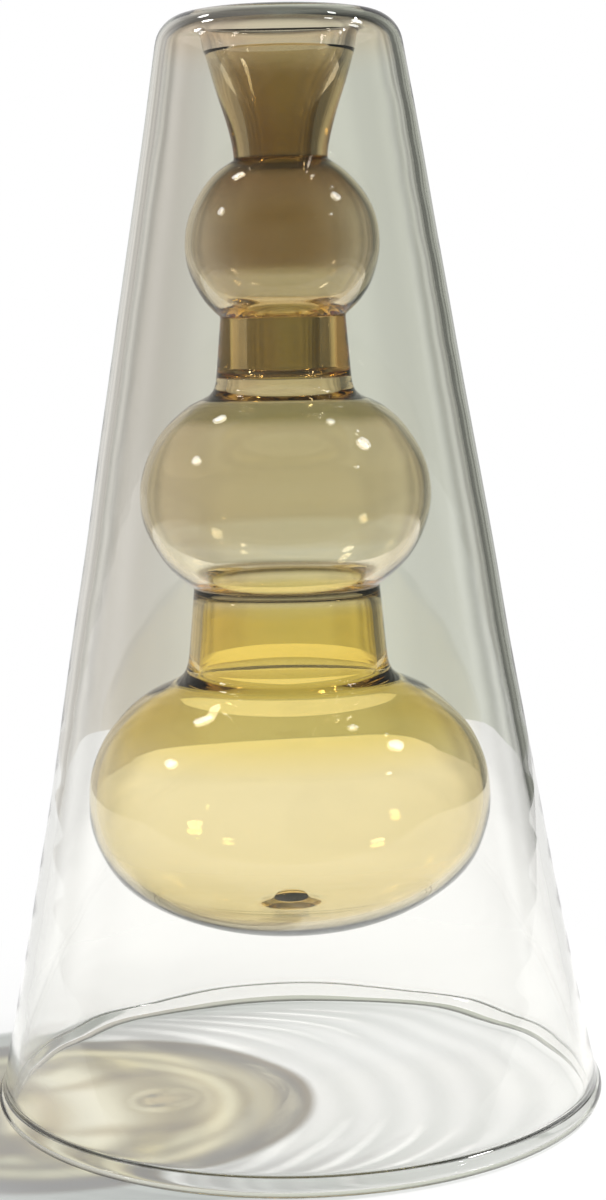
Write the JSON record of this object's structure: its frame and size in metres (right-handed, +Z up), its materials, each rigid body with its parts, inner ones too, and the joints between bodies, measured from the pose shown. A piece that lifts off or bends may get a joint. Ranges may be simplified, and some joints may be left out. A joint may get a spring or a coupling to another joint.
{
  "type": "double walled gourd vase",
  "caption": "Free-standing flower vase: a clear open-footed glass cone with a stacked-bulb amber glass gourd hanging inside it from the rolled mouth.",
  "frame": {"origin": "centre of the foot ring, on the surface that the vase stands on", "axes": "+Z up along the axis of the vase, through the middle of its mouth; round about Z, so X and Y are any two directions across it"},
  "size_m": [0.12, 0.12, 0.2102],
  "materials": {
    "clear_glass": "gloss",
    "amber_glass": "gloss"
  },
  "bodies": {
    "root": {"outer_cone": "clear_glass", "foot_bead": "clear_glass", "rolled_shoulder": "clear_glass", "mouth_funnel": "amber_glass", "upper_bulb": "amber_glass", "upper_neck": "amber_glass", "middle_bulb": "amber_glass", "lower_neck": "amber_glass", "lower_bulb": "amber_glass", "pinch_off_nib": "amber_glass"}
  },
  "joints": []
}
